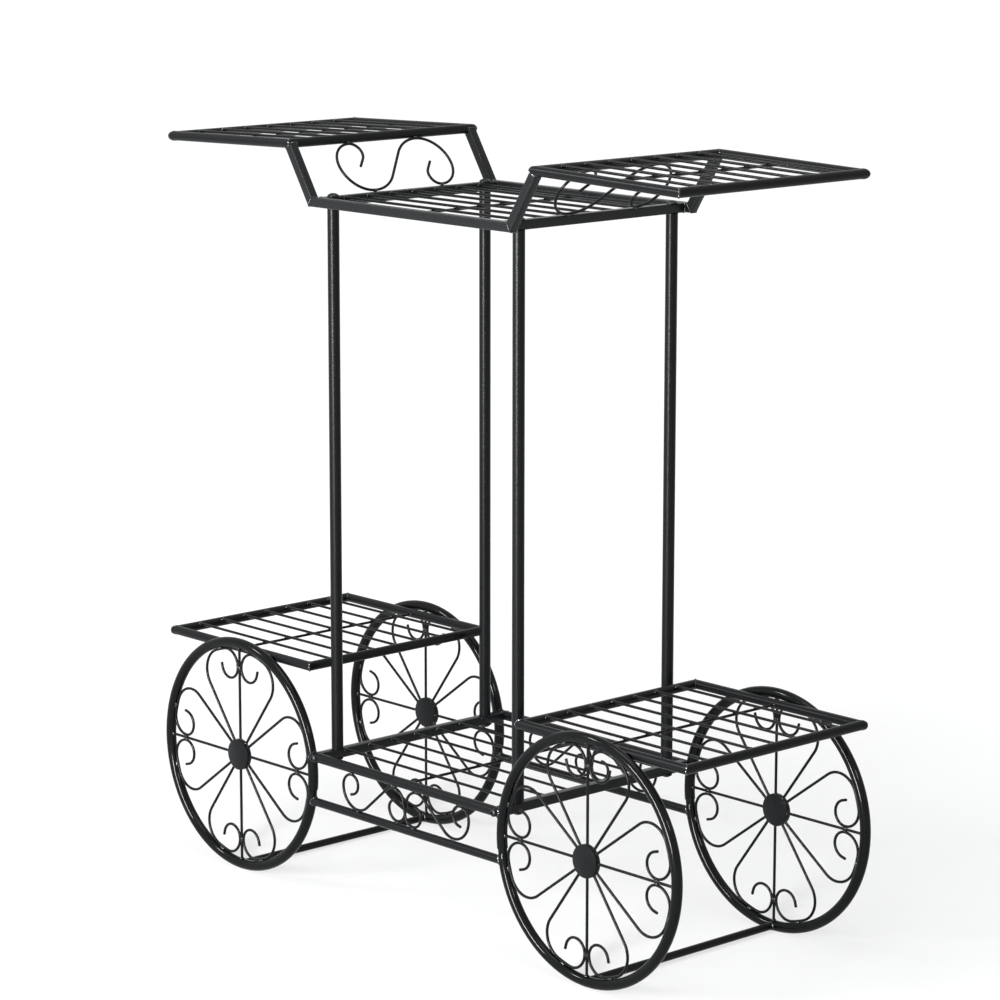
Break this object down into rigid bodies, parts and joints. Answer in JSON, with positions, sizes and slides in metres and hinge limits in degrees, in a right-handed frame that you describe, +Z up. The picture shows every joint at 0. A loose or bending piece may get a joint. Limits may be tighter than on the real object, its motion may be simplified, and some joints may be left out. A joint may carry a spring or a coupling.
{
  "type": "flower cart stand",
  "caption": "Two-tier cart-shaped plant stand of black-coated steel tube and wire, with fixed decorative wheels, low side decks, tall posts and a top deck with raised wings.",
  "frame": {"origin": "on the floor, under the middle of the stand", "axes": "+X along the stand's length towards its right wheels, +Y across it towards its back, +Z up"},
  "size_m": [0.8, 0.2836, 0.802],
  "materials": {
    "wheel_rim": "semi-gloss black powder coat",
    "hub_plate": "semi-gloss black powder coat",
    "wire_work": "satin black powder coat",
    "post_tube": "satin black powder coat",
    "square_tube": "satin black powder coat",
    "round_tube": "satin black powder coat",
    "screw": "black oxide with light oil sheen"
  },
  "bodies": {
    "root": {"arm_back_left": "square_tube", "arm_back_right": "square_tube", "arm_front_left": "square_tube", "arm_front_right": "square_tube", "foot_screws": "screw", "hub_back_left": "hub_plate", "hub_back_right": "hub_plate", "hub_front_left": "hub_plate", "hub_front_right": "hub_plate", "lower_rail_back": "round_tube", "lower_rail_front": "round_tube", "middle_cross_wire": "wire_work", "middle_rail_left": "square_tube", "middle_rail_right": "square_tube", "middle_wires": "wire_work", "petals_back_left": "wire_work", "petals_back_right": "wire_work", "petals_front_left": "wire_work", "petals_front_right": "wire_work", "post_back_left": "post_tube", "post_back_right": "post_tube", "post_front_left": "post_tube", "post_front_right": "post_tube", "rail_screws": "screw", "rim_back_left": "wheel_rim", "rim_back_right": "wheel_rim", "rim_front_left": "wheel_rim", "rim_front_right": "wheel_rim", "scrolls_back": "wire_work", "scrolls_front": "wire_work", "side_deck_cross_wire_left": "wire_work", "side_deck_cross_wire_right": "wire_work", "side_deck_frame_left": "round_tube", "side_deck_frame_right": "round_tube", "side_deck_wires_left": "wire_work", "side_deck_wires_right": "wire_work", "spokes_back_left": "wire_work", "spokes_back_right": "wire_work", "spokes_front_left": "wire_work", "spokes_front_right": "wire_work", "tie_bar_left": "round_tube", "tie_bar_right": "round_tube", "top_cross_wire": "wire_work", "top_rail_back": "square_tube", "top_rail_front": "square_tube", "top_screws": "screw", "top_side_rail_left": "square_tube", "top_side_rail_right": "square_tube", "top_wires": "wire_work", "upper_rail_back": "round_tube", "upper_rail_front": "round_tube", "wing_cross_wire_left": "wire_work", "wing_cross_wire_right": "wire_work", "wing_frame_left": "round_tube", "wing_frame_right": "round_tube", "wing_scroll_left": "wire_work", "wing_scroll_right": "wire_work", "wing_wires_left": "wire_work", "wing_wires_right": "wire_work"}
  },
  "joints": []
}
